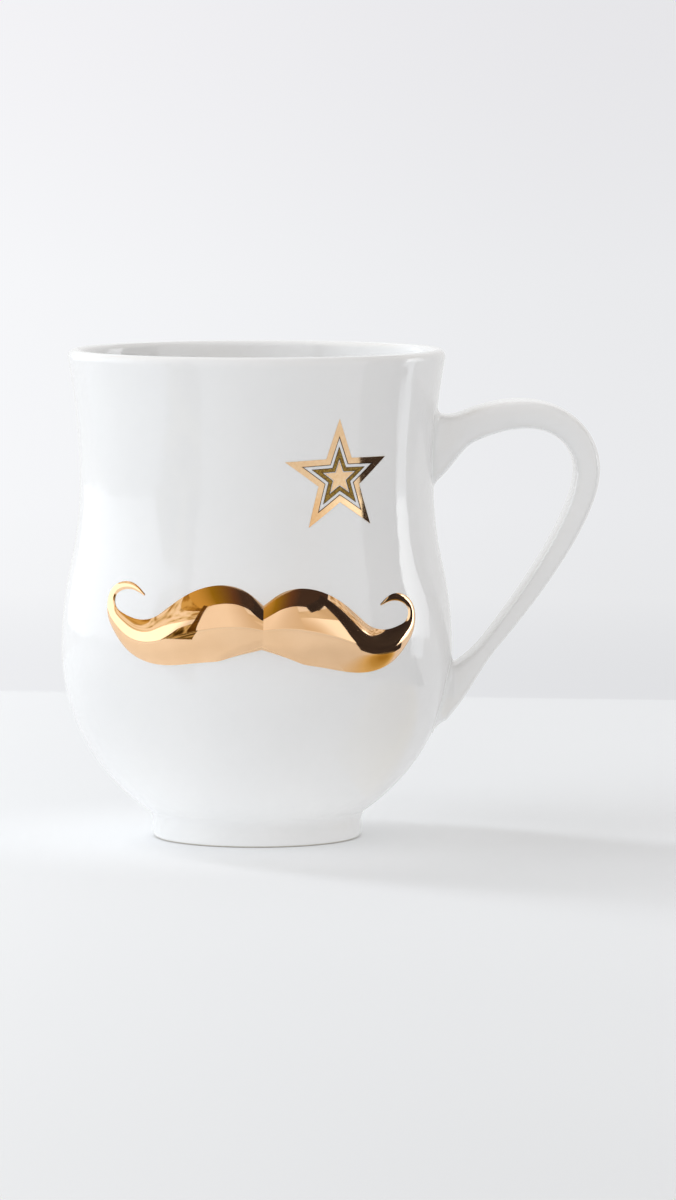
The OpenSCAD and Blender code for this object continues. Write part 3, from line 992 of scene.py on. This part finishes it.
def bright_gold():
    """A mirror of gold, with brushed changes of colour and gloss, and slow waves."""
    material, tree, output = new_tree("bright_gold")
    place = object_place(tree)
    film = noise(tree, place, scale=90, detail=3)
    sheen = noise(tree, place, scale=160, detail=3)
    waves = noise(tree, place, scale=130)
    skin = add_node(tree, "Bump", {"Height": waves, "Distance": WAVE_DEPTH, "Strength": 1})
    principled(tree, output, {
        "Base Color": two_tone(tree, film, (0.92, 0.60, 0.345), (0.98, 0.66, 0.40)),
        "Metallic": 1,
        "Roughness": vary(tree, sheen, 0.03, 0.075),
        "Normal": skin.outputs["Normal"],
    })
    return material


GOLD = bright_gold()
print("Finish:", GOLD.name)

# %% [markdown]
# ## The mustache
# The mustache is the piece that takes the most skill. Each half is a swelling roll of clay, pressed in a
# mould, that tapers, turns up and ends in a curl. A few stations along its middle line give its place,
# its width and the height of its relief. A smooth curve through the stations fills in the rest. The roll
# is drawn flat first and then wrapped round the wall, so that it hugs the belly in both directions.

# %% Stations of the mustache
MUSTACHE_Z = BELLY_Z + 8 * MM
MUSTACHE_W = 78.2 * MM
MUSTACHE_H = 18.4 * MM
MUSTACHE_RELIEF = 3.6 * MM
MUSTACHE_TILT = math.radians(2.4)
MUSTACHE_TURN = math.radians(-0.8)
MUSTACHE_SINK = 0.05 * MM
MUSTACHE_CROWN = 2
CREASE_SHARE = 0.4

# Place along half the width, height and half width as shares of the height, and share of the relief
MUSTACHE_STATIONS = np.array([
    (0.000, 0.00, 0.260, 0.78),
    (0.087, 0.04, 0.355, 0.92),
    (0.251, 0.03, 0.445, 1.00),
    (0.444, -0.11, 0.385, 0.88),
    (0.609, -0.23, 0.290, 0.62),
    (0.758, -0.21, 0.215, 0.38),
    (0.879, -0.09, 0.142, 0.21),
    (0.966, 0.08, 0.084, 0.11),
    (0.971, 0.26, 0.062, 0.08),
    (0.894, 0.37, 0.050, 0.06),
    (0.807, 0.37, 0.036, 0.05),
    (0.725, 0.29, 0.010, 0.04),
])
print(f"Mustache {MUSTACHE_W / MM:.0f} mm wide, with {len(MUSTACHE_STATIONS)} stations to a half")

# %% Smooth curve through the stations


def spline(knots, values, at):
    """
    The smoothest cubic curve through values at knots. Its bends at the knots solve one set of equations, in
    which neighbouring pieces agree on slope and the two ends are unbent.
    """
    step = np.diff(knots)
    rise = np.diff(values, axis=0) / step[:, None]
    count = len(knots)
    matrix = np.eye(count)
    inner = np.arange(1, count - 1)
    matrix[inner, inner - 1] = step[:-1]
    matrix[inner, inner] = 2 * (step[:-1] + step[1:])
    matrix[inner, inner + 1] = step[1:]
    right = np.zeros_like(values)
    right[1:-1] = 6 * np.diff(rise, axis=0)
    bend = np.linalg.solve(matrix, right)
    i = np.clip(np.searchsorted(knots, at, side="right") - 1, 0, count - 2)
    h, a, b = step[i][:, None], (knots[i + 1] - at)[:, None], (at - knots[i])[:, None]
    cubic = (bend[i] * a ** 3 + bend[i + 1] * b ** 3) / (6 * h)
    line = (values[i] / h - bend[i] * h / 6) * a + (values[i + 1] / h - bend[i + 1] * h / 6) * b
    return cubic + line


# %% Skin of the mustache
MUSTACHE_RINGS = 420
DOME_SIDES = 72
UNDER_POINTS = 7


def smooth(x):
    """Rises from 0 to 1 with level ends: k k (3 - 2 k)."""
    k = np.clip(x, 0, 1)
    return k * k * (3 - 2 * k)


def on_wall(turn, z, lift):
    """A point on the wall at an angle from the front, lifted off it: (r sin, -r cos, z)."""
    r = wall_r(z) + lift
    return np.stack([r * np.sin(turn), -r * np.cos(turn), z], axis=-1)


def mustache_grid(side, rings, dome_sides):
    """
    One half, from the crease to the tip. Each ring is a low lens over the line: across by sin a, lifted by
    cos a to the power of the crown. A strip under the wall's face closes it. The flat ring is tilted and
    wrapped round the wall.
    """
    size = np.array([MUSTACHE_W / 2, MUSTACHE_H])
    flat = MUSTACHE_STATIONS[:, :2] * size
    knots = along(flat)
    at = np.linspace(0, knots[-1], rings)
    line = spline(knots, MUSTACHE_STATIONS, at)
    middle = line[:, :2] * size
    to = unit(np.gradient(middle, at, axis=0))
    lean = smooth(line[:, :1] / CREASE_SHARE)
    across = unit((1 - lean) * [0, 1] + lean * np.stack([-to[:, 1], to[:, 0]], axis=1))
    half_w = line[:, 2:3] * MUSTACHE_H
    relief = line[:, 3:4] * MUSTACHE_RELIEF

    dome = np.linspace(-np.pi / 2, np.pi / 2, dome_sides + 1)
    under = np.linspace(1, -1, UNDER_POINTS)
    out = np.append(np.sin(dome), under)
    lift = np.append(np.cos(dome) ** MUSTACHE_CROWN, 0 * under) * relief
    lift = lift - MUSTACHE_SINK * np.append(0 * dome, 0 * under + 1)
    x = side * (middle[:, :1] + across[:, :1] * out * half_w)
    y = middle[:, 1:] + across[:, 1:] * out * half_w
    cos, sin = math.cos(MUSTACHE_TILT), math.sin(MUSTACHE_TILT)
    turn = MUSTACHE_TURN + (x * cos + y * sin) / wall_r(np.array(MUSTACHE_Z))
    z = MUSTACHE_Z + y * cos - x * sin
    return on_wall(turn, z, lift)


for side, name in ((-1, "left"), (1, "right")):
    grid = mustache_grid(side, MUSTACHE_RINGS, DOME_SIDES)
    closed_piece(f"mustache_half_{name}", grid, f"mustache_{name}", GOLD)

# %% [markdown]
# ## The star
# The star is a printed transfer: three nested outlines in a film of gold, fired onto the glaze. It has no
# relief to speak of, but it lies on a curved wall, so each band is a thin closed skin that follows the
# wall. Every outline is the same ten-cornered star at another size. A picture laid on the wall would blur
# close by, and an outline that is worked out stays sharp. A value named across runs from a band's outer
# border to its inner one, and the finish uses it to draw the fine dark border lines.

# %% Sizes of the star
STAR_Z = CUP_H - 26.7 * MM
STAR_TURN = math.radians(24.6)
STAR_TILT = math.radians(1.5)
STAR_TIP_R = 13 * MM
STAR_NOTCH_R = 5.3 * MM
STAR_BAND_W = 1.4 * MM
STAR_GAP_W = 0.65 * MM
STAR_MIDDLE_W = 0.9 * MM
STAR_LINE_W = 0.2 * MM
STAR_FILM = 0.1 * MM
STAR_SINK = 0.1 * MM
STAR_MIDDLE_AT = STAR_BAND_W + STAR_GAP_W
STAR_CENTRE_AT = STAR_MIDDLE_AT + STAR_MIDDLE_W + STAR_LINE_W
STEP_A = math.pi / 5
print(f"Star in a circle of {2 * STAR_TIP_R / MM:.0f} mm")

# %% Finishes of the star
# Where the dark lines start and are full: from the band's outer border, and from the middle of the band
GOLD_LINE = (0.86, 0.92)
BROWN_LINES = (0.36, 0.42)


def band_across(tree):
    """The value named across, which a band carries from its outer border to its inner one."""
    return add_node(tree, "Attribute", attribute_name="across").outputs["Fac"]


def printed_gold():
    """Mirror gold with a fine grain and a dark line along its inner border."""
    material, tree, output = new_tree("printed_gold")
    grain = noise(tree, object_place(tree), scale=1500, detail=3)
    gold = two_tone(tree, grain, (0.93, 0.62, 0.34), (1.0, 0.70, 0.42))
    line = map_range(tree, band_across(tree), *GOLD_LINE, 0, 1)
    principled(tree, output, {
        "Base Color": mix(tree, "RGBA", line, gold, (0.13, 0.07, 0.04, 1)),
        "Metallic": 1,
        "Roughness": vary(tree, grain, 0.05, 0.12),
    })
    return material


def printed_brown():
    """Brown gold, stippled, with a dark line along both borders."""
    material, tree, output = new_tree("printed_brown_gold")
    dots = noise(tree, object_place(tree), scale=3200)
    stipple = colour_ramp(tree, dots, [(0.38, (0.17, 0.085, 0.012)), (0.62, (0.42, 0.27, 0.05))])
    outwards = calculate(tree, "ABSOLUTE", calculate(tree, "SUBTRACT", band_across(tree), 0.5))
    lines = map_range(tree, outwards, *BROWN_LINES, 0, 1)
    principled(tree, output, {
        "Base Color": mix(tree, "RGBA", lines, stipple, (0.06, 0.03, 0.012, 1)),
        "Metallic": 0.6,
        "Roughness": vary(tree, dots, 0.3, 0.5),
    })
    return material


PRINTED_GOLD = printed_gold()
PRINTED_BROWN = printed_brown()
print("Finishes:", PRINTED_GOLD.name, PRINTED_BROWN.name)

# %% Skins of the star
BAND_STEPS = 12
BAND_SIDE_STEPS = 16
HEART_STEPS = 9
HEART_SIDE_STEPS = 8
HEART_START = 0.02


def star_outline(steps):
    """The whole star's outline, with straight sides between tips and notches."""
    corner = np.arange(11)
    angle = math.pi / 2 + STAR_TILT + STEP_A * corner
    radius = np.where(corner % 2 == 0, STAR_TIP_R, STAR_NOTCH_R)
    corners = np.stack([radius * np.cos(angle), radius * np.sin(angle)], axis=1)
    place = np.arange(10 * steps) / steps
    return np.stack([np.interp(place, corner, corners[:, i]) for i in range(2)], axis=1)


def star_share(border):
    """Size of the outline that lies a border's width inside the whole star's."""
    tip_a = math.atan2(STAR_NOTCH_R * math.sin(STEP_A), STAR_TIP_R - STAR_NOTCH_R * math.cos(STEP_A))
    return 1 - border / (STAR_TIP_R * math.sin(tip_a))


def star_grid(shares, lifts, steps):
    """Outlines of many sizes, one to a column, seen square on and laid on the wall at a lift each."""
    outline = star_outline(steps)
    u = outline[:, :1] * shares
    z = STAR_Z + outline[:, 1:] * shares
    depth = np.sqrt((wall_r(z) + lifts) ** 2 - u ** 2)
    x = u * math.cos(STAR_TURN) + depth * math.sin(STAR_TURN)
    y = u * math.sin(STAR_TURN) - depth * math.cos(STAR_TURN)
    return np.stack([x, y, z], axis=-1)


def film(over):
    """Lifts of a film that runs over the wall and back underneath, just below the glaze."""
    return np.append(0 * over + STAR_FILM, 0 * over - STAR_SINK)


def star_band(name, node, finish, outside, inside):
    """A band between two borders: outlines that shrink over the wall and grow again underneath."""
    over = np.linspace(0, 1, BAND_STEPS + 1)
    across = np.append(over, over[::-1])
    shares = star_share(outside) + (star_share(inside) - star_share(outside)) * across
    grid = star_grid(shares, film(over), BAND_SIDE_STEPS)
    closed_piece(name, grid, node, finish, ring=True, across=across)


def star_middle(name, node, finish, outside):
    """The centre star: outlines that grow from the middle to the border and shrink again underneath."""
    over = np.linspace(HEART_START, 1, HEART_STEPS + 1)
    shares = star_share(outside) * np.append(over, over[::-1])
    grid = np.swapaxes(star_grid(shares, film(over), HEART_SIDE_STEPS), 0, 1)
    closed_piece(name, grid, node, finish)


star_band("star_band_gold", "star_outer_band", PRINTED_GOLD, 0, STAR_BAND_W)
star_band("star_band_brown", "star_middle_band", PRINTED_BROWN,
          STAR_MIDDLE_AT, STAR_MIDDLE_AT + STAR_MIDDLE_W)
star_middle("star_heart", "star_centre", PRINTED_GOLD, STAR_CENTRE_AT)
